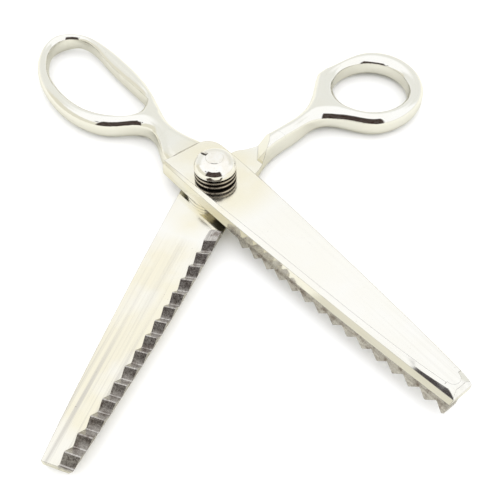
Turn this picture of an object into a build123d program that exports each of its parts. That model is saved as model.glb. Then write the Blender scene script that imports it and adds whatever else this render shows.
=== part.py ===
from build123d import *
import os
from math import asin, atan2, cos, degrees, radians, sin, tan

# Pinking shears, opened for cutting and lying flat.
#
# Millimetres, +Z up. The origin is on the pivot axis in the plane of the table: the blades
# point towards -Y, the handles towards +Y. Each half is drawn in its own closed position,
# with its tip towards -Y, and is then turned about Z into the open rest position.

# ---- driving dimensions -------------------------------------------------------------
PITCH = 25.4 * 3 / 16            # tooth pitch
TOOTH_HALF_DEPTH = 1.05          # crest and root each stand this far from the mating plane
TOOTH_GAP = 0.06                 # each row of teeth is set back this far for running clearance
TOOTH_COUNT = 15                 # crests of the lower blade, from the raised heel to the tip
LAST_CREST_R = 88.3              # radius of the lower blade's crest nearest the tip
BLADE_LENGTH = 91.2              # pivot to tip
OPENING = 58.8                   # angle between the halves at rest
UPPER_SET = 0.95                 # degrees the upper blade is set round, against its handle
FAR = 100.0                      # reach of cutting tools, past the end of everything

THICKNESS = 9.4                  # across both blades at the pivot
EDGE_BREAK = 0.35                # small bevel along the back of each blade
MATE_Z = THICKNESS / 2           # plane where the halves meet
FACE_GAP = 0.03                  # each pivot face is set back this far from the mating plane
RECESS_DEPTH = 1.2               # relief behind the teeth, clears the other row's crests
PIVOT_FACE_R = 8.8               # flat bearing face round the pivot
LAP_R = 17.2                     # shoulder of the half-lap round the pivot
LAP_FLARE = 4.0                  # the lower half's shoulder slopes back this far at its top
LAP_BEFORE = 8.0                 # straight part of the shoulder: reach before its line's start,
LAP_BEYOND = 10.0                # beyond its start,
LAP_SIDE = 20.0                  # and sideways
UPPER_SHOULDER = ((-0.1, 18.0), (4.3, 21.3))     # shoulder line that clears the lower shank
LOWER_SHOULDER = ((5.6, 22.0), (7.1, 17.0))      # shoulder line that clears the upper shank

BAR_SEAT = 1.9                   # seat of the toothed bar, measured from the mating plane
BAR_HEEL_Y = -16.6               # where the bar's rounded heel ends
BAR_HEEL_ROUND = 1.3

TIP_ROUND_CENTRE = (3.3, -87.4)  # the flat outer face ends in a half circle near the tip
TIP_ROUND_R = 1.9
TIP_SLOPE = 22.0                 # fall of the nose beyond that half circle, in degrees
TIP_BEVEL_LENGTH = 1.2           # last bevel, across the whole end
TIP_BEVEL_SLOPE = 40.0

BOW_LOW_Z = 0.4                  # underside and top of both finger loops
BOW_HIGH_Z = 8.2
UPPER_SHANK_Z = 9.65             # the upper shank stands a little above the milled flat
LOWER_SHANK_Z = 9.2
SHOULDER_Y = 15.0                # edge of the milled flat across the upper shank
PLATE_CORNER = 5.0
BOW_ROUND = 3.2
RING_ROUND = 2.2
HOLE_ROUND = 1.4
STOP_ROUND = 1.5

BOLT_HEAD_R = 5.5
BOLT_HEAD_Z = (0.0, 2.2)
BOLT_R = 3.0
THREAD_R = 2.6
RUNNING_CLEARANCE = 0.04
KEY_R = 0.6
KEY_AT_R = 4.3
KEY_Z = (1.2, 3.2)
BUSH_R = 4.2
BLADE_WASHER_R = 7.0
BLADE_WASHER_THICK = 0.4
BLADE_WASHER_PROUD = 0.02        # it stands this far above the lower blade's pivot face

SMALL_WASHER_R = 5.0
SMALL_WASHER_THICK = 0.3
SPRING_R = 6.15
SPRING_BORE_R = 3.2
SPRING_THICK = 0.55
SPRING_CONE = 0.25
SPRING_COUNT = 4

NUT_R = 6.2
NUT_HEIGHT = 3.5
NUT_FLAT_R = 2.9                 # the nut's flat top, and the edge where its dome ends
NUT_EDGE_HEIGHT = 0.6
BOLT_PROUD = 0.12
STAKE_LENGTH = 3.0
STAKE_WIDTH = 1.3
STAKE_DEPTH = 1.1
STAKE_ANGLE = 139.0

AXIS_FLIP = Axis((0, 0, MATE_Z), (0, 1, 0))


# ---- small helpers ------------------------------------------------------------------
def flipped(shape):
    """Turn an upper-half shape over about the blade's long axis, into a lower-half shape."""
    return shape.rotate(AXIS_FLIP, 180)


def block(x0, x1, y0, y1, z0, z1):
    size = (x1 - x0, y1 - y0, z1 - z0)
    middle = ((x0 + x1) / 2, (y0 + y1) / 2, (z0 + z1) / 2)
    return Pos(*middle) * Box(*size)


def tube(outer, inner, z0, z1):
    """Round ring on the pivot axis, or a solid disc when inner is 0."""
    ring = Pos(0, 0, (z0 + z1) / 2) * Cylinder(outer, z1 - z0)
    if inner:
        ring -= Pos(0, 0, (z0 + z1) / 2) * Cylinder(inner, z1 - z0 + 1)
    return ring


def turned(points):
    """Solid of revolution about Z from a closed outline given as (radius, height)."""
    outline = Polyline(*[(r, 0, z) for r, z in points], close=True)
    return revolve(make_face(outline), Axis.Z)


# ---- blade cross-sections (upper blade, cutting edge towards -X) --------------------
# Each row: y, back edge x, ridge x, first and second bevel line (x, z), wall top (x, z),
# crest line x, bar width. The strip between the bevel lines widens only towards the tip.
STATIONS = [
    (SHOULDER_Y, 9.6, -7.9, (-8.4, 8.84), (-8.5, 8.7), (-8.8, 7.0), -8.9, 3.4),
    (-8.0, 10.0, -6.3, (-7.42, 8.57), (-7.5, 8.5), (-8.2, 5.9), -8.45, 3.4),
    (-36.0, 9.15, -4.1, (-5.42, 8.47), (-5.5, 8.4), (-6.85, 5.75), -7.1, 3.2),
    (-64.0, 7.9, -1.9, (-3.02, 8.42), (-3.15, 8.3), (-4.7, 5.75), -4.95, 3.2),
    (-BLADE_LENGTH, 6.1, 1.8, (1.0, 9.05), (-0.35, 7.92), (-1.9, 5.78), -2.5, 4.3),
]


def blade_envelope():
    """Blade from shoulder to tip, solid down to the level of the tooth crests."""
    low = MATE_Z - TOOTH_HALF_DEPTH - TOOTH_GAP
    sections = []
    for y, back, ridge, first_bevel, second_bevel, wall_top, crest_x, _ in STATIONS:
        corners = [
            (ridge, THICKNESS),
            first_bevel,
            second_bevel,
            wall_top,
            (crest_x, low),
            (back, low),
            (back, THICKNESS - EDGE_BREAK),
            (back - EDGE_BREAK, THICKNESS),
        ]
        outline = Polyline(*[(x, y, z) for x, z in corners], close=True)
        sections.append(make_face(outline))
    return loft(sections)


def bar_zone():
    """Plan of the toothed bar, from its rounded heel to past the tip."""
    outer = Spline(*[(crest_x - 2, y) for y, *_, crest_x, _ in STATIONS])
    inner = Spline(*[(crest_x + width, y) for y, *_, crest_x, width in STATIONS])
    top_cap = Line(outer @ 0, inner @ 0)
    end_cap = Line(inner @ 1, outer @ 1)
    strip = make_face(Curve() + [outer, top_cap, inner, end_cap])
    strip = strip & Pos(0, BAR_HEEL_Y - FAR / 2) * Rectangle(FAR, FAR)
    heel_points = strip.vertices().sort_by(Axis.Y)[-2:]
    inner_heel = heel_points.sort_by(Axis.X)[-1]
    return fillet(inner_heel, BAR_HEEL_ROUND)


def teeth_outline(side):
    """Closed (radius, height) outline of the space beyond the teeth.

    side +1 is the space under the upper row, -1 is the space above the lower row. The flanks
    are at 45 degrees. Nearer the pivot than the first crest, the lower row stays at crest
    height: that is its raised heel.
    """
    base = MATE_Z + side * TOOTH_GAP
    land = PITCH / 4 - TOOTH_HALF_DEPTH
    points = [(1.0, base + TOOTH_HALF_DEPTH)]
    for tooth in range(TOOTH_COUNT + 1):
        crest = LAST_CREST_R + (tooth - TOOTH_COUNT + 1) * PITCH
        root = crest + PITCH / 2
        points.append((crest - land, base + TOOTH_HALF_DEPTH))
        points.append((crest + land, base + TOOTH_HALF_DEPTH))
        points.append((root - land, base - TOOTH_HALF_DEPTH))
        points.append((root + land, base - TOOTH_HALF_DEPTH))
    beyond = MATE_Z - side * 4
    points.append((points[-1][0], beyond))
    points.append((points[0][0], beyond))
    return points


def nose_cut():
    """What is taken off the outer face at the tip: a cone round its end, and a last bevel."""
    centre_x, centre_y = TIP_ROUND_CENTRE
    depth = 3.0
    spread = depth / tan(radians(TIP_SLOPE))
    cone = Cone(TIP_ROUND_R + spread, TIP_ROUND_R, depth)
    cone = Pos(centre_x, centre_y, THICKNESS - depth / 2) * cone
    beyond = block(-FAR, FAR, -FAR, centre_y, THICKNESS - depth, THICKNESS + depth)
    drop = TIP_BEVEL_LENGTH * tan(radians(TIP_SLOPE))
    bevel = block(-FAR, FAR, -FAR, 0, 0, FAR)
    bevel = Rot(TIP_BEVEL_SLOPE, 0, 0) * bevel
    return beyond - cone + Pos(0, TIP_BEVEL_LENGTH - BLADE_LENGTH, THICKNESS - drop) * bevel


def blade_and_bar():
    """The upper blade without its handle, and its toothed bar before the teeth are cut."""
    envelope = blade_envelope() - nose_cut()
    bar_space = extrude(bar_zone(), MATE_Z + BAR_SEAT)
    bar = envelope & bar_space
    low_side = block(-FAR, FAR, -FAR, FAR, 0, MATE_Z + FACE_GAP)
    recess = block(-FAR, FAR, -FAR, 0, 0, MATE_Z + RECESS_DEPTH)
    recess -= tube(PIVOT_FACE_R, 0, 0, THICKNESS)
    blade = envelope - low_side - recess - bar_space
    return blade, bar


# ---- handle outlines, each half in its closed position ------------------------------
FINGER_BOW_OUTER = [
    (6.6, 17.2), (5.3, 22.0), (4.7, 29.5), (7.0, 39.0), (11.2, 53.0), (13.1, 68.0),
    (13.1, 83.2), (9.6, 95.0), (1.6, 99.7), (-7.5, 94.7), (-14.5, 83.4), (-17.9, 67.4),
    (-16.5, 52.4), (-10.2, 42.0), (-2.7, 35.7), (-1.9, 30.5), (-4.3, 23.5), (-6.4, 17.0),
]
FINGER_HOLE = [
    (0.6, 41.8), (5.6, 45.6), (7.0, 53.0), (7.3, 64.0), (8.1, 76.0), (8.8, 86.4),
    (6.2, 93.8), (-0.2, 95.3), (-6.9, 89.8), (-11.6, 80.0), (-13.4, 67.0),
    (-11.7, 54.0), (-6.2, 44.8),
]
RING_RIGHT = [
    (9.6, 12.0), (11.6, 22.0), (16.6, 32.0), (21.3, 39.6), (28.2, 41.6), (38.4, 42.6),
    (46.6, 49.6), (50.3, 61.7), (46.4, 74.9), (35.8, 82.4), (26.2, 80.9), (19.3, 72.4),
    (14.7, 66.1),
]
STOP_CORNER = (13.3, 62.9)
RING_LEFT = [
    STOP_CORNER, (14.4, 55.4), (15.2, 48.1), (14.3, 40.0), (10.0, 29.0), (4.6, 20.8),
    (0.2, 17.6),
]
RING_HOLE_MIDDLE = (32.6, 61.2)
RING_HOLE_SIZE = (12.8, 14.3)


def finger_plan():
    """Upper shank and long finger bow."""
    side = Spline(*FINGER_BOW_OUTER)
    root = Polyline(side @ 1, (-7.0, 12.0), (7.6, 12.0), side @ 0)
    return make_face(Curve() + [side, root])


def finger_hole():
    return make_face(Spline(*FINGER_HOLE, periodic=True))


def ring_plan():
    """Lower shank and round thumb ring, with the corner that stops the finger bow."""
    right = Spline(*RING_RIGHT)
    into_stop = Line(right @ 1, STOP_CORNER)
    left = Spline(*RING_LEFT)
    root = Polyline(left @ 1, (-6.0, 10.0), (8.8, 8.0), right @ 0)
    plan = make_face(Curve() + [right, into_stop, left, root])
    corner = plan.vertices().sort_by_distance(STOP_CORNER)[0]
    return fillet(corner, STOP_ROUND)


def ring_hole():
    return Pos(*RING_HOLE_MIDDLE) * Ellipse(*RING_HOLE_SIZE)


def shank_profile(near_high):
    """Side view of a handle: thicker by the pivot, level along the bow."""
    near_y, level_y, far_y = -10, 46, 110
    top = Spline((near_y, near_high), (SHOULDER_Y, near_high),
                 (level_y, BOW_HIGH_Z), (far_y, BOW_HIGH_Z))
    under = Polyline(top @ 1, (far_y, BOW_LOW_Z), (near_y, BOW_LOW_Z), top @ 0)
    return extrude(make_face(Plane.YZ * (Curve() + [top, under])), FAR, both=True)


def rounded_handle(plan, hole, profile, edge_round):
    """Handle forging with its finger hole, softened along every long edge."""
    pillar = Pos(0, 0, -1) * extrude(plan - hole, THICKNESS + 2)
    handle = pillar & profile
    rims = handle.edges().filter_by(lambda edge: edge.bounding_box().size.Z < MATE_Z)
    rims = rims.filter_by(lambda edge: (edge @ 0.5).Y > SHOULDER_Y - 2)
    room = hole.bounding_box()

    def round_hole(edge):
        middle = edge @ 0.5
        across = room.min.X - 0.1 < middle.X < room.max.X + 0.1
        along = room.min.Y - 0.1 < edge.bounding_box().min.Y
        return across and along and edge.bounding_box().max.Y < room.max.Y + 0.1

    handle = fillet([edge for edge in rims if not round_hole(edge)], edge_round)
    rims = handle.edges().filter_by(lambda edge: edge.bounding_box().size.Z < 3)
    return fillet([edge for edge in rims if round_hole(edge)], HOLE_ROUND)


def lap_room(start, end, z0, z1, flare=0.0):
    """Space the other half needs: round the pivot, and to the right of a line.

    With a flare, both shoulders slope back by that much at the top.
    """
    along = Vector(*end) - Vector(*start)
    place = Pos(*start, z0) * Rot(0, 0, degrees(atan2(along.Y, along.X)))
    height = z1 - z0
    side_view = Polyline((0, -LAP_SIDE, 0), (0, 0, 0), (0, flare, height),
                         (0, -LAP_SIDE, height), close=True)
    beside = extrude(make_face(side_view), LAP_BEFORE + LAP_BEYOND, dir=(1, 0, 0))
    beside = place * Pos(-LAP_BEFORE, 0, 0) * beside
    if not flare:
        return beside + tube(LAP_R, 0, z0, z1)
    return beside + Pos(0, 0, (z0 + z1) / 2) * Cone(LAP_R, LAP_R + flare, height)


def plate_corner():
    """Corner to take off the plate's back edge, so that it clears the other shank."""
    back = STATIONS[0][1]
    corner = Pos(back, SHOULDER_Y) * Rectangle(2 * PLATE_CORNER, 2 * PLATE_CORNER)
    corner -= Pos(back - PLATE_CORNER, SHOULDER_Y - PLATE_CORNER) * Circle(PLATE_CORNER)
    return extrude(corner, THICKNESS + 2)


# ---- the two forgings ---------------------------------------------------------------
def upper_blade(blade):
    """Upper forging: blade, pivot plate, shank and finger bow."""
    profile = shank_profile(UPPER_SHANK_Z)
    handle = rounded_handle(finger_plan(), finger_hole(), profile, BOW_ROUND)
    handle -= lap_room(*UPPER_SHOULDER, -1, MATE_Z + FACE_GAP)
    handle -= block(-FAR, FAR, -FAR, SHOULDER_Y, THICKNESS, THICKNESS + 2)
    forging = (blade - plate_corner()) + handle
    return forging - tube(BUSH_R, 0, -1, THICKNESS + 1)


def lower_blade(blade):
    """Lower forging: blade, pivot plate, shank and thumb ring."""
    profile = shank_profile(LOWER_SHANK_Z)
    handle = rounded_handle(ring_plan(), ring_hole(), profile, RING_ROUND)
    handle -= lap_room(*LOWER_SHOULDER, MATE_Z - FACE_GAP, THICKNESS, LAP_FLARE)
    forging = flipped(blade - plate_corner()) + handle
    forging -= tube(BOLT_R + RUNNING_CLEARANCE, 0, -1, THICKNESS)
    forging -= tube(BOLT_HEAD_R + 0.1, 0, -1, BOLT_HEAD_Z[1])
    forging -= tube(BLADE_WASHER_R + 0.1, 0, washer_floor(), THICKNESS)
    return forging - key_pin()


def washer_floor():
    return MATE_Z - BLADE_WASHER_THICK + BLADE_WASHER_PROUD


# ---- pivot hardware -----------------------------------------------------------------
def key_pin():
    """Small dowel that stops the bolt head from turning in the lower blade."""
    z0, z1 = KEY_Z
    return Pos(KEY_AT_R, 0, (z0 + z1) / 2) * Cylinder(KEY_R, z1 - z0)


def blade_washer():
    return tube(BLADE_WASHER_R, BOLT_R + RUNNING_CLEARANCE, washer_floor(),
                washer_floor() + BLADE_WASHER_THICK)


def pivot_bush():
    return tube(BUSH_R, BOLT_R + RUNNING_CLEARANCE, MATE_Z + FACE_GAP, THICKNESS)


def small_washer(z):
    return tube(SMALL_WASHER_R, BOLT_R + RUNNING_CLEARANCE, z, z + SMALL_WASHER_THICK)


def disc_spring(z, cupped_up):
    """Coned ring; cupped up, its rim is higher than its bore."""
    inner = 0 if cupped_up else SPRING_CONE
    outer = SPRING_CONE - inner
    return turned([
        (SPRING_BORE_R, z + inner),
        (SPRING_R, z + outer),
        (SPRING_R, z + outer + SPRING_THICK),
        (SPRING_BORE_R, z + inner + SPRING_THICK),
    ])


def spring_floor(index):
    """Lowest point of each disc spring, counted up from the blade."""
    base = THICKNESS + SMALL_WASHER_THICK
    return base + index * (SPRING_THICK + SPRING_CONE)


def stack_top():
    return spring_floor(SPRING_COUNT)


def nut_floor():
    return stack_top() + SMALL_WASHER_THICK


def pivot_bolt():
    top = nut_floor() + NUT_HEIGHT + BOLT_PROUD
    head = tube(BOLT_HEAD_R, 0, *BOLT_HEAD_Z)
    neck = tube(BOLT_R, 0, BOLT_HEAD_Z[1], nut_floor())
    thread = tube(THREAD_R, 0, nut_floor(), top)
    thread = chamfer(thread.edges().sort_by(Axis.Z)[-1], BOLT_PROUD)
    return head + neck + thread - key_pin()


def cap_nut():
    """Round domed nut, staked to the end of the bolt."""
    z0 = nut_floor()
    top = z0 + NUT_HEIGHT
    edge = z0 + NUT_EDGE_HEIGHT
    dome_width = NUT_R - NUT_FLAT_R
    fall = NUT_HEIGHT - NUT_EDGE_HEIGHT
    dome_r = (dome_width ** 2 + fall ** 2) / (2 * fall)
    half_angle = asin(dome_width / dome_r) / 2
    midway = (NUT_FLAT_R + dome_r * sin(half_angle), 0, top - dome_r * (1 - cos(half_angle)))
    dome = ThreePointArc((NUT_FLAT_R, 0, top), midway, (NUT_R, 0, edge))
    rest = Polyline(dome @ 1, (NUT_R, 0, z0), (THREAD_R, 0, z0), (THREAD_R, 0, top),
                    dome @ 0)
    nut = revolve(make_face(Curve() + [dome, rest]), Axis.Z)
    stake = Pos(THREAD_R + STAKE_LENGTH / 2, 0, z0 + NUT_HEIGHT)
    notch = stake * Box(STAKE_LENGTH, STAKE_WIDTH, 2 * STAKE_DEPTH)
    return nut - notch.rotate(Axis.Z, STAKE_ANGLE)


# ---- assembly -----------------------------------------------------------------------
def build():
    """Every node of the assembly in its rest position, by name."""
    blade, bar = blade_and_bar()
    upper = {
        "upper_blade": upper_blade(blade.rotate(Axis.Z, -UPPER_SET)),
        "upper_tooth_bar": bar.rotate(Axis.Z, -UPPER_SET) - turned(teeth_outline(+1)),
        "pivot_bush": pivot_bush(),
    }
    lower = {
        "lower_blade": lower_blade(blade),
        "lower_tooth_bar": flipped(bar) - turned(teeth_outline(-1)),
        "bolt_key": key_pin(),
        "blade_washer": blade_washer(),
    }
    nodes = {
        "pivot_bolt": pivot_bolt().rotate(Axis.Z, -OPENING / 2),
        "cap_nut": cap_nut(),
        "seat_washer": small_washer(THICKNESS),
        "thrust_washer": small_washer(stack_top()),
    }
    for index in range(SPRING_COUNT):
        spring = disc_spring(spring_floor(index), index % 2 == 0)
        nodes[f"disc_spring_{index + 1}"] = spring
    for name, shape in upper.items():
        nodes[name] = shape.rotate(Axis.Z, OPENING / 2)
    for name, shape in lower.items():
        nodes[name] = shape.rotate(Axis.Z, -OPENING / 2)
    return nodes


os.makedirs("parts", exist_ok=True)
for node, solid in build().items():
    export_step(solid, f"parts/{node}.step")
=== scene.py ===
"""Pinking shears on a white table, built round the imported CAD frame."""

import math

import bmesh
import bpy
from mathutils import Matrix, Vector
from mathutils.kdtree import KDTree


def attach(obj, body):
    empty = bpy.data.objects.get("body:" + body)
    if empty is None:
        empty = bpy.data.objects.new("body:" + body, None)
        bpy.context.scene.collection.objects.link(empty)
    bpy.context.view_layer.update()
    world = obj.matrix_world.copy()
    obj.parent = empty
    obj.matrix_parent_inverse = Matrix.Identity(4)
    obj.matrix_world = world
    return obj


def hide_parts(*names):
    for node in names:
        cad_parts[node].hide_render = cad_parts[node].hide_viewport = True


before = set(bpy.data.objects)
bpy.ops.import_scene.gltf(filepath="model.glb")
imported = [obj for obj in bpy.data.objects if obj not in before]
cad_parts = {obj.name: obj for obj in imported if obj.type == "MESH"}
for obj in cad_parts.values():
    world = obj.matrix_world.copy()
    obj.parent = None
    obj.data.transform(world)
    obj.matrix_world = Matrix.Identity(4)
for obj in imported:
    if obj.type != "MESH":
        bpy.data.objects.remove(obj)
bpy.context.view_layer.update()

MM = 0.001

# ---- camera: the viewpoint of the product picture, in the frame's own axes ----------
CAMERA_AT = Vector((-15.24, -145.31, 149.50)) * MM
LOOK_AT = Vector((6.44, -21.75, 0.0)) * MM
LENS = 49.4

# ---- what polished metal sees round the table ---------------------------------------
# Each card: azimuth range (0 is -Y, + to the right), height range, softness of its edges,
# all in degrees, and its colour. Later cards cover earlier ones. The azimuths are those of
# the product picture; the cards turn with the camera, as if the object were on a turntable.
CARDS = (
    ((-185, 185), (-25, 4), 6, (0.86, 0.85, 0.77, 1)),      # far edge of the table
    ((100, 185), (4, 41), 8, (0.87, 0.87, 0.82, 1)),        # backdrop, dimmer low down
    ((-185, -120), (4, 41), 8, (0.87, 0.87, 0.82, 1)),
    ((-125, -54), (-12, 27), 5, (0.80, 0.775, 0.655, 1)),   # cream wall on the left
    ((-68.2, -60), (34, 41.1), 0.3, (0.02, 0.012, 0.015, 1)),  # dark stand on the left
    ((-56, 26), (0, 50), 3, (0.035, 0.018, 0.012, 1)),      # camera and photographer
)
LIGHT_LEVEL = 1.6            # soft white light on the table and the object
MIRROR_LEVEL = 1.08          # the same white as polished metal sees it
FLOOR_COLOUR = (0.9, 0.9, 0.9, 1)
FLOOR_IN_MIRROR = (0.66, 0.65, 0.58, 1)
FLOOR_REACH = 3.0            # m to each side

# ---- shape facts that the materials need, mm and degrees ----------------------------
UPPER_BLADE_TURN = 28.45     # the upper blade's direction, from -Y towards +X
LOWER_BLADE_TURN = -29.4
BLADE_ROOT = -18.0           # along each blade, where grinding starts
BLADE_TIP = -90.0
SPRING_RIM_R = 5.9           # outside this radius the springs' touching rims get a painted highlight
SPRING_RIM_Z = 10.5          # height where the first pair of rims touches
SPRING_PAIR_PITCH = 1.6

# ---- handles: the forged band round each finger hole, mm ----------------------------
HANDLE_TURN = 29.4           # each handle's angle from +Y, one to each side
BAND_MID_Z = 4.3
BAND_HALF_HEIGHT = 3.9
UPPER_FILLET = 3.2           # the CAD's rounding outside, and at the hole
LOWER_FILLET = 2.2
CAD_HOLE_FILLET = 1.4
CROWN_REACH = 3.8            # half width of the band's elliptic section
NOSE_BLUNT = 0.15
FLAT_AT = 0.86               # where the hole's flat wall cuts that section
SEAM_Y = 26.0                # on the blade's side of this the CAD surface is kept
SEAM_MARGIN = 4.0
CROWN_FROM = 28.0            # the section turns from the CAD's to the forged one
CROWN_FULL = 42.0
VOXEL = 0.3
SMOOTHING = 8
HOLE_TRIM = 0.1
HOLE_CUTTER_Z = (-2.0, 14.0) # the cutter passes right through the band
CRISP_ANGLE = 24.0
WELD_DISTANCE = 0.0001
OUTLINE_STEP = 0.06          # spacing of the points that distances are measured to


# ---- node helpers -------------------------------------------------------------------
class Tree:
    """A material's or world's node tree, with one short call per kind of node."""

    def __init__(self, owner):
        owner.use_nodes = True
        self.tree = owner.node_tree

    def node(self, kind, inputs=None, **settings):
        made = self.tree.nodes.new("ShaderNode" + kind)
        for key, value in settings.items():
            setattr(made, key, value)
        for key, value in (inputs or {}).items():
            self.feed(made.inputs[key], value)
        return made

    def feed(self, socket, value):
        if isinstance(value, bpy.types.NodeSocket):
            self.tree.links.new(value, socket)
        else:
            socket.default_value = value

    def maths(self, operation, first, second=0.0, third=0.0):
        made = self.node("Math", {0: first, 1: second, 2: third}, operation=operation)
        return made.outputs[0]

    def remap(self, value, low, high, to_low=0.0, to_high=1.0):
        made = self.node("MapRange", {"Value": value, "From Min": low, "From Max": high,
                                      "To Min": to_low, "To Max": to_high},
                         interpolation_type="SMOOTHSTEP")
        return made.outputs["Result"]

    def blend(self, factor, first, second, how="MIX"):
        made = self.node("Mix", data_type="RGBA", blend_type=how)
        self.feed(made.inputs[0], factor)
        self.feed(made.inputs[6], first)
        self.feed(made.inputs[7], second)
        return made.outputs[2]

    def noise(self, where, grain, detail=3.0, roughness=0.5):
        """Noise whose blobs are about `grain` mm across."""
        made = self.node("TexNoise", {"Vector": where, "Scale": 1 / (grain * MM),
                                      "Detail": detail, "Roughness": roughness})
        return made.outputs["Fac"]

    def band(self, value, low, high, soft):
        """1 between low and high, falling to 0 over `soft` on each side."""
        rise = self.remap(value, low - soft, low + soft)
        fall = self.remap(value, high - soft, high + soft, 1.0, 0.0)
        return self.maths("MULTIPLY", rise, fall)


def grey(level, alpha=1.0):
    return (level, level, level, alpha)


# ---- camera, table and light --------------------------------------------------------
def make_camera():
    data = bpy.data.cameras.new("camera")
    data.lens = LENS
    data.clip_start = 0.01
    camera = bpy.data.objects.new("camera", data)
    bpy.context.scene.collection.objects.link(camera)
    camera.location = CAMERA_AT
    camera.rotation_euler = (LOOK_AT - CAMERA_AT).to_track_quat("-Z", "Y").to_euler()
    bpy.context.scene.camera = camera


def make_floor():
    """White table; polished metal sees it a little warmer and darker than the camera does."""
    mesh = bpy.data.meshes.new("floor")
    corners = [(FLOOR_REACH * x, FLOOR_REACH * y, 0)
               for x, y in ((-1, -1), (1, -1), (1, 1), (-1, 1))]
    mesh.from_pydata(corners, [], [(0, 1, 2, 3)])
    floor = bpy.data.objects.new("floor", mesh)
    bpy.context.scene.collection.objects.link(floor)
    material = bpy.data.materials.new("floor")
    tree = Tree(material)
    shader = tree.tree.nodes["Principled BSDF"]
    in_mirror = tree.node("LightPath").outputs["Is Glossy Ray"]
    colour = tree.blend(in_mirror, FLOOR_COLOUR, FLOOR_IN_MIRROR)
    tree.feed(shader.inputs["Base Color"], colour)
    tree.feed(shader.inputs["Roughness"], 0.9)
    tree.feed(shader.inputs["Specular IOR Level"], 0.0)
    mesh.materials.append(material)


def azimuth_of(tree, direction):
    """Azimuth of a direction in radians: 0 along -Y, + towards +X."""
    axes = tree.node("SeparateXYZ", {0: direction})
    backward = tree.maths("MULTIPLY", axes.outputs["Y"], -1.0)
    return tree.maths("ARCTAN2", axes.outputs["X"], backward)


def make_world():
    """White all round; only reflections see the cards, which turn with the camera."""
    world = bpy.data.worlds.new("studio")
    bpy.context.scene.world = world
    tree = Tree(world)
    background = tree.tree.nodes["Background"]
    direction = tree.node("TexCoord").outputs["Generated"]
    height = tree.maths("ARCSINE", tree.node("SeparateXYZ", {0: direction}).outputs["Z"])
    looking = tree.node("VectorTransform", {0: (0, 0, 1)}, vector_type="VECTOR",
                        convert_from="CAMERA", convert_to="WORLD").outputs[0]
    home = LOOK_AT - CAMERA_AT
    turned = tree.maths("SUBTRACT", azimuth_of(tree, direction), azimuth_of(tree, looking))
    turned = tree.maths("ADD", turned, math.atan2(home.x, -home.y))
    azimuth = tree.maths("WRAP", turned, math.pi, -math.pi)
    blotch = tree.node("TexNoise", {"Vector": direction, "Scale": 9.0, "Detail": 3.0})
    colour = grey(MIRROR_LEVEL)
    for side, level, soft, card_colour in CARDS:
        across = tree.band(azimuth, *map(math.radians, side), math.radians(soft))
        upward = tree.band(height, *map(math.radians, level), math.radians(soft))
        card = tree.maths("MULTIPLY", across, upward)
        ragged = tree.remap(blotch.outputs["Fac"], 0.3, 0.7, 0.94, 1.0)
        colour = tree.blend(tree.maths("MULTIPLY", card, ragged), colour, card_colour)
    in_mirror = tree.node("LightPath").outputs["Is Glossy Ray"]
    tree.feed(background.inputs["Color"], tree.blend(in_mirror, grey(LIGHT_LEVEL), colour))
    tree.feed(background.inputs["Strength"], 1.0)


# ---- rounded handles ----------------------------------------------------------------
def welded(mesh):
    """The CAD mesh as one closed skin; its split corners become sharp edges."""
    skin = bmesh.new()
    skin.from_mesh(mesh)
    for edge in skin.edges:
        edge.smooth = not edge.is_boundary
    bmesh.ops.remove_doubles(skin, verts=skin.verts[:], dist=WELD_DISTANCE * MM)
    return skin


def everything(skin):
    return skin.verts[:] + skin.edges[:] + skin.faces[:]


def outlines(skin, height):
    """Closed outlines of the skin at a height, longest first, as lists of points."""
    cut = skin.copy()
    made = bmesh.ops.bisect_plane(cut, geom=everything(cut), plane_co=(0, 0, height),
                                  plane_no=(0, 0, 1))["geom_cut"]
    left = {item for item in made if isinstance(item, bmesh.types.BMEdge)}
    loops = []
    while left:
        edge = left.pop()
        loop = [edge.verts[0]]
        corner = edge.verts[1]
        while edge:
            loop.append(corner)
            edge = next((near for near in corner.link_edges if near in left), None)
            if edge:
                left.discard(edge)
                corner = edge.other_vert(corner)
        loops.append([vert.co.copy() for vert in loop])
    cut.free()
    return sorted(loops, key=loop_length, reverse=True)


def loop_length(loop):
    return sum((b - a).length for a, b in zip(loop, loop[1:]))


def distance_finder(loop):
    """Function that gives a point's distance from a closed outline, in plan and in mm."""
    samples = []
    for start, end in zip(loop, loop[1:] + loop[:1]):
        count = max(1, round((end - start).length / (OUTLINE_STEP * MM)))
        samples += [start.lerp(end, index / count).xy.to_3d() for index in range(count)]
    tree = KDTree(len(samples))
    for index, sample in enumerate(samples):
        tree.insert(sample, index)
    tree.balance()
    return lambda point: tree.find(point.xy.to_3d())[2] / MM


def rounded_share(depth, fillet_radius):
    """Half height of the CAD band at a depth from an edge with this fillet, 1 at its middle."""
    inside = max(0.0, fillet_radius - depth)
    fall = fillet_radius - math.sqrt(fillet_radius ** 2 - inside ** 2)
    return 1 - fall / BAND_HALF_HEIGHT


def crown_share(to_outside, to_hole):
    """Half height of the forged band: a half ellipse, cut off flat at the hole."""
    reach = min(CROWN_REACH, (to_outside + to_hole) / (1 + FLAT_AT))
    outward = max(0.0, 1 - (to_outside + NOSE_BLUNT) / reach)
    inward = max(0.0, FLAT_AT - to_hole / reach)
    return math.sqrt((1 - outward ** 2) * (1 - inward ** 2))


def smooth_step(value, low, high):
    share = min(1.0, max(0.0, (value - low) / (high - low)))
    return share * share * (3 - 2 * share)


def handle_direction(turn):
    return Matrix.Rotation(math.radians(turn), 3, "Z") @ Vector((0, 1, 0))


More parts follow.
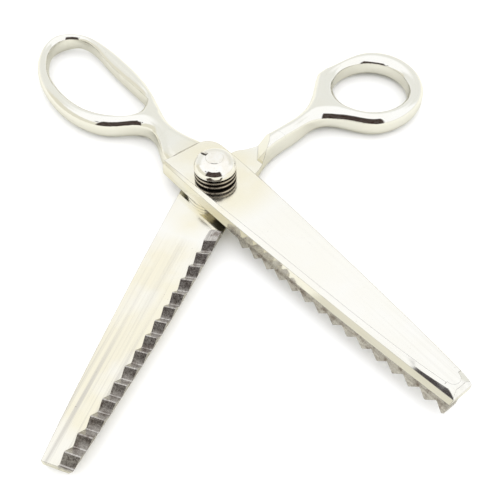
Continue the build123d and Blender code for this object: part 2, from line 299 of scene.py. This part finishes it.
def part_of(skin, turn, keep_blade, margin=0.0):
    """Keep the blade side or the handle side of a half, and close the cut."""
    direction = handle_direction(turn)
    bmesh.ops.bisect_plane(skin, geom=everything(skin), plane_no=direction,
                           plane_co=direction * (SEAM_Y - margin) * MM,
                           clear_outer=keep_blade, clear_inner=not keep_blade)
    rims = [edge for edge in skin.edges if edge.is_boundary]
    bmesh.ops.holes_fill(skin, edges=rims)
    for edge in rims:
        edge.smooth = False


def to_mesh(name, skin):
    mesh = bpy.data.meshes.new(name)
    skin.to_mesh(mesh)
    skin.free()
    return mesh


def with_modifiers(name, mesh, *modifiers):
    """The mesh with modifiers applied, each given as (kind, settings)."""
    holder = bpy.data.objects.new(name, mesh)
    bpy.context.scene.collection.objects.link(holder)
    for kind, settings in modifiers:
        modifier = holder.modifiers.new(kind, kind)
        for key, value in settings.items():
            setattr(modifier, key, value)
    bpy.context.view_layer.update()
    result = bpy.data.meshes.new_from_object(
        holder.evaluated_get(bpy.context.evaluated_depsgraph_get()))
    bpy.data.objects.remove(holder)
    return result


def hole_cutter(loop):
    """Upright prism a little larger than the finger hole."""
    prism = bmesh.new()
    count = len(loop)
    middle = sum(loop, Vector()) / count
    rings = []
    for height in HOLE_CUTTER_Z:
        ring = []
        for index, point in enumerate(loop):
            tangent = loop[(index + 1) % count] - loop[index - 1]
            outward = tangent.cross(Vector((0, 0, 1))).normalized()
            if outward.dot(point - middle) < 0:
                outward.negate()
            at = point + outward * HOLE_TRIM * MM
            ring.append(prism.verts.new((at.x, at.y, height * MM)))
        rings.append(ring)
    low, high = rings
    for index in range(count):
        after = (index + 1) % count
        prism.faces.new((low[index], low[after], high[after], high[index]))
    prism.faces.new(low)
    prism.faces.new(high)
    bmesh.ops.recalc_face_normals(prism, faces=prism.faces[:])
    cutter = bpy.data.objects.new("cutter", to_mesh("cutter", prism))
    bpy.context.scene.collection.objects.link(cutter)
    return cutter


def worked_handle(skin, turn, edge_fillet):
    """The handle side of a forging, its band worked to the forged section."""
    outer, hole = outlines(skin, BAND_MID_Z * MM)[:2]
    hole = hole[:-1]
    to_outside = distance_finder(outer)
    to_hole = distance_finder(hole)
    direction = handle_direction(turn)
    middle = BAND_MID_Z * MM

    blank = skin.copy()
    part_of(blank, turn, keep_blade=False, margin=SEAM_MARGIN)
    blank = with_modifiers("blank", to_mesh("blank", blank),
                           ("REMESH", {"mode": "VOXEL", "voxel_size": VOXEL * MM}))
    for vert in blank.vertices:
        out_depth = to_outside(vert.co)
        hole_depth = to_hole(vert.co)
        cad = rounded_share(out_depth, edge_fillet) * rounded_share(hole_depth, CAD_HOLE_FILLET)
        worked = min(1.0, crown_share(out_depth, hole_depth) / cad)
        place = smooth_step(vert.co.dot(direction) / MM, CROWN_FROM, CROWN_FULL)
        vert.co.z = middle + (vert.co.z - middle) * (1 + (worked - 1) * place)
    cutter = hole_cutter(hole)
    worked_mesh = with_modifiers(
        "worked", blank,
        ("SMOOTH", {"factor": 0.5, "iterations": SMOOTHING}),
        ("BOOLEAN", {"operation": "DIFFERENCE", "object": cutter, "solver": "EXACT"}))
    bpy.data.objects.remove(cutter)

    handle = bmesh.new()
    handle.from_mesh(worked_mesh)
    part_of(handle, turn, keep_blade=False)
    for edge in handle.edges:
        if len(edge.link_faces) == 2 and edge.calc_face_angle(0.0) > math.radians(CRISP_ANGLE):
            edge.smooth = False
    return handle


def forged_half(node, turn, edge_fillet, material):
    """A forging: the CAD blade and pivot, and its handle worked to a round section."""
    skin = welded(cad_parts[node].data)
    handle = worked_handle(skin, turn, edge_fillet)
    part_of(skin, turn, keep_blade=True)
    joined = bmesh.new()
    joined.from_mesh(to_mesh("blade", skin))
    joined.from_mesh(to_mesh("handle", handle))
    mesh = to_mesh(node + "_forging", joined)
    mesh.shade_smooth()
    mesh.materials.clear()
    mesh.materials.append(material)
    forging = bpy.data.objects.new(node + "_forging", mesh)
    bpy.context.scene.collection.objects.link(forging)
    return forging


# ---- materials ----------------------------------------------------------------------
def metal(name):
    material = bpy.data.materials.new(name)
    tree = Tree(material)
    shader = tree.tree.nodes["Principled BSDF"]
    tree.feed(shader.inputs["Metallic"], 1.0)
    return material, tree, shader


def along(tree, turn, stretch):
    """Object coordinates turned so that Y runs along a blade, then stretched along Y."""
    here = tree.node("TexCoord").outputs["Object"]
    turned = tree.node("VectorRotate", {"Vector": here, "Angle": math.radians(-turn)},
                       rotation_type="Z_AXIS").outputs["Vector"]
    squeezed = tree.node("VectorMath", {0: turned, 1: (1.0, 1.0 / stretch, 1.0)},
                         operation="MULTIPLY").outputs["Vector"]
    return here, turned, squeezed


def about_pivot(tree, here):
    """A point's separate coordinates, and its distance from the pivot's axis."""
    axes = tree.node("SeparateXYZ", {0: here})
    flat = tree.node("CombineXYZ", {"X": axes.outputs["X"], "Y": axes.outputs["Y"]})
    length = tree.node("VectorMath", {0: flat.outputs[0]}, operation="LENGTH")
    return axes, length.outputs["Value"]


def edge_line(tree, radius):
    """Softened normal, and 1 along sharp edges and 0 elsewhere."""
    softened = tree.node("Bevel", {"Radius": radius * MM}, samples=4).outputs["Normal"]
    plain = tree.node("NewGeometry").outputs["Normal"]
    same = tree.node("VectorMath", {0: softened, 1: plain}, operation="DOT_PRODUCT")
    return softened, tree.remap(same.outputs["Value"], 0.9985, 0.975)


def plated_forging(name, turn, streak_strength, cream):
    """Nickel-plated forging: mirror bright, ground along the blade, with handling marks and a
    painted dark line along sharp edges.
    """
    material, tree, shader = metal(name)
    here, turned, streaked = along(tree, turn, stretch=60.0)
    axes = tree.node("SeparateXYZ", {0: turned})
    ground = tree.remap(axes.outputs["Y"], BLADE_ROOT * MM, (BLADE_ROOT - 8) * MM)
    to_tip = tree.remap(axes.outputs["Y"], -45 * MM, BLADE_TIP * MM)
    from_pivot = tree.node("VectorMath", {0: here}, operation="LENGTH").outputs["Value"]
    plate = tree.remap(from_pivot, 24 * MM, 14 * MM)
    softened, edge = edge_line(tree, 0.2)

    tint = tree.remap(tree.noise(here, 16, detail=3), 0.3, 0.6, 0.35, 1.0)
    creamy = tree.maths("MAXIMUM", tree.maths("MULTIPLY", ground, cream),
                        tree.maths("MULTIPLY", plate, 0.8))
    creamy = tree.maths("MULTIPLY", tree.maths("ADD", creamy, 0.2), tint)
    colour = tree.blend(creamy, (0.92, 0.92, 0.90, 1), (0.88, 0.84, 0.69, 1))
    streak = tree.remap(tree.noise(streaked, 1.1, detail=4), 0.42, 0.75)
    streak = tree.maths("MULTIPLY", tree.maths("MULTIPLY", ground, streak), streak_strength)
    dulled = tree.maths("MULTIPLY", streak, tree.maths("ADD", 0.35, to_tip))
    colour = tree.blend(dulled, colour, (0.55, 0.53, 0.49, 1))
    speck = tree.remap(tree.noise(here, 0.6, detail=1), 0.79, 0.82)
    colour = tree.blend(tree.maths("MULTIPLY", speck, 0.6), colour, (0.25, 0.22, 0.18, 1))
    # Painted shade: a dark line along the sharp edges.
    colour = tree.blend(tree.maths("MULTIPLY", edge, 0.75), colour, (0.30, 0.29, 0.27, 1))
    tree.feed(shader.inputs["Base Color"], colour)

    cloud = tree.remap(tree.noise(here, 6, detail=5, roughness=0.6), 0.4, 0.8, 0.04, 0.10)
    rough = tree.maths("ADD", cloud, tree.maths("MULTIPLY", streak, 0.15))
    rough = tree.maths("ADD", rough, tree.maths("MULTIPLY", plate, 0.10))
    tree.feed(shader.inputs["Roughness"], rough)

    ripple = tree.node("Bump", {"Strength": 0.5, "Distance": 0.02 * MM, "Normal": softened,
                                "Height": tree.noise(here, 9, detail=1)})
    scratch = tree.node("Bump", {"Strength": 0.4, "Distance": 0.002 * MM,
                                 "Normal": ripple.outputs["Normal"], "Height": streak})
    tree.feed(shader.inputs["Normal"], scratch.outputs["Normal"])
    return material


def ground_steel(name, turn):
    """Bare ground steel of the tooth bars, stained and mottled, with lines along the bar."""
    material, tree, shader = metal(name)
    here, _, streaked = along(tree, turn, stretch=25.0)
    line = tree.noise(streaked, 0.35, detail=4)
    colour = tree.blend(tree.remap(line, 0.3, 0.7), (0.42, 0.40, 0.38, 1), (0.62, 0.60, 0.57, 1))
    stain = tree.remap(tree.noise(here, 2.2, detail=6, roughness=0.7), 0.45, 0.68)
    colour = tree.blend(tree.maths("MULTIPLY", stain, 0.75), colour, (0.17, 0.13, 0.11, 1))
    tree.feed(shader.inputs["Base Color"], colour)
    grain = tree.noise(here, 0.5, detail=5, roughness=0.7)
    tree.feed(shader.inputs["Roughness"], tree.remap(grain, 0.3, 0.75, 0.2, 0.42))
    soft_edge = tree.node("Bevel", {"Radius": 0.1 * MM}, samples=4).outputs["Normal"]
    lines = tree.node("Bump", {"Strength": 0.5, "Distance": 0.01 * MM, "Normal": soft_edge,
                               "Height": line})
    pits = tree.node("Bump", {"Strength": 0.5, "Distance": 0.02 * MM,
                              "Normal": lines.outputs["Normal"], "Height": grain})
    tree.feed(shader.inputs["Normal"], pits.outputs["Normal"])
    return material


def plated_hardware(name):
    """Mirror-plated turned parts: faint rings about the pivot, painted shade in the crevices,
    which are also duller.
    """
    material, tree, shader = metal(name)
    here = tree.node("TexCoord").outputs["Object"]
    _, radius = about_pivot(tree, here)
    ring_where = tree.node("CombineXYZ", {"X": radius})
    ring = tree.noise(ring_where.outputs[0], 0.25, detail=3)
    blotch = tree.noise(here, 3, detail=4)
    colour = tree.blend(tree.remap(blotch, 0.4, 0.7), (0.95, 0.94, 0.91, 1), (0.90, 0.87, 0.80, 1))
    speck = tree.remap(tree.noise(here, 0.5, detail=1), 0.76, 0.80)
    colour = tree.blend(tree.maths("MULTIPLY", speck, 0.6), colour, (0.2, 0.17, 0.14, 1))
    # Painted shade in the crevices: an occlusion mask darkens the colour there and also raises the
    # roughness.
    open_share = tree.node("AmbientOcclusion", {"Distance": 0.9 * MM}, samples=8).outputs["AO"]
    crevice_shade_and_grime = tree.remap(open_share, 0.9, 0.55)
    colour = tree.blend(tree.maths("MULTIPLY", crevice_shade_and_grime, 0.95), colour, (0.03, 0.02, 0.015, 1))
    tree.feed(shader.inputs["Base Color"], colour)
    polish = tree.remap(blotch, 0.3, 0.8, 0.04, 0.12)
    dull = tree.maths("MULTIPLY", crevice_shade_and_grime, 0.4)
    tree.feed(shader.inputs["Roughness"], tree.maths("ADD", polish, dull))
    soft_edge = tree.node("Bevel", {"Radius": 0.12 * MM}, samples=4).outputs["Normal"]
    turning = tree.node("Bump", {"Strength": 0.35, "Distance": 0.002 * MM,
                                 "Normal": soft_edge, "Height": ring})
    tree.feed(shader.inputs["Normal"], turning.outputs["Normal"])
    return material


def spring_steel(name, body_colour, rim_highlight_colour):
    """Oiled dark spring washers, with a painted highlight on the touching rims."""
    material, tree, shader = metal(name)
    here = tree.node("TexCoord").outputs["Object"]
    axes, radius = about_pivot(tree, here)
    blotch = tree.noise(here, 1.2, detail=5, roughness=0.65)
    above = tree.maths("SUBTRACT", axes.outputs["Z"], (SPRING_RIM_Z - SPRING_PAIR_PITCH / 2) * MM)
    in_pair = tree.maths("MODULO", above, SPRING_PAIR_PITCH * MM)
    from_rim = tree.maths("ABSOLUTE", tree.maths("SUBTRACT", in_pair, SPRING_PAIR_PITCH / 2 * MM))
    # Painted highlight: a bright band at the rims where the springs touch.
    rim_highlight = tree.remap(radius, (SPRING_RIM_R - 0.15) * MM, SPRING_RIM_R * MM)
    rim_highlight = tree.maths("MULTIPLY", rim_highlight, tree.remap(from_rim, 0.3 * MM, 0.18 * MM))
    rim_highlight = tree.maths("MULTIPLY", rim_highlight, tree.remap(blotch, 0.25, 0.5, 0.5, 1.0))
    tree.feed(shader.inputs["Base Color"], tree.blend(rim_highlight, body_colour, rim_highlight_colour))
    tree.feed(shader.inputs["Roughness"], tree.remap(blotch, 0.3, 0.7, 0.2, 0.4))
    pits = tree.node("Bump", {"Strength": 0.4, "Distance": 0.01 * MM, "Height": blotch})
    tree.feed(shader.inputs["Normal"], pits.outputs["Normal"])
    return material


def bronze(name):
    material, tree, shader = metal(name)
    here = tree.node("TexCoord").outputs["Object"]
    patina = tree.noise(here, 2, detail=5, roughness=0.6)
    colour = tree.blend(tree.remap(patina, 0.4, 0.7), (0.72, 0.50, 0.27, 1), (0.36, 0.22, 0.12, 1))
    tree.feed(shader.inputs["Base Color"], colour)
    tree.feed(shader.inputs["Roughness"], tree.remap(patina, 0.3, 0.7, 0.25, 0.5))
    grain = tree.node("Bump", {"Strength": 0.3, "Distance": 0.01 * MM,
                               "Height": tree.noise(here, 0.3, detail=4)})
    tree.feed(shader.inputs["Normal"], grain.outputs["Normal"])
    return material


def finish_node(name, material):
    """Give every material slot of a CAD node the one procedural material."""
    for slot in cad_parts[name].material_slots:
        slot.link = "OBJECT"
        slot.material = material


def finish_nodes():
    hardware = plated_hardware("plated_hardware")
    # the second colour is the painted highlight on the springs' rims
    spring = spring_steel("spring_steel", (0.045, 0.033, 0.026, 1), (0.62, 0.57, 0.50, 1))
    brass = bronze("bronze")
    upper = forged_half("upper_blade", HANDLE_TURN, UPPER_FILLET,
                        plated_forging("upper_plating", UPPER_BLADE_TURN, 0.12, 0.1))
    lower = forged_half("lower_blade", -HANDLE_TURN, LOWER_FILLET,
                        plated_forging("lower_plating", LOWER_BLADE_TURN, 0.8, 1.0))
    for forging, node, body in ((upper, "upper_blade", "upper_half"),
                                (lower, "lower_blade", "lower_half")):
        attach(forging, body)
        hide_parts(node)
    finish_node("upper_tooth_bar", ground_steel("upper_bar_steel", UPPER_BLADE_TURN))
    finish_node("lower_tooth_bar", ground_steel("lower_bar_steel", LOWER_BLADE_TURN))
    for name in ("pivot_bolt", "bolt_key", "cap_nut"):
        finish_node(name, hardware)
    for name in ("seat_washer", "thrust_washer", "disc_spring_1", "disc_spring_2",
                 "disc_spring_3", "disc_spring_4"):
        finish_node(name, spring)
    for name in ("pivot_bush", "blade_washer"):
        finish_node(name, brass)


bpy.context.scene.view_settings.view_transform = "Standard"
make_camera()
make_floor()
make_world()
finish_nodes()
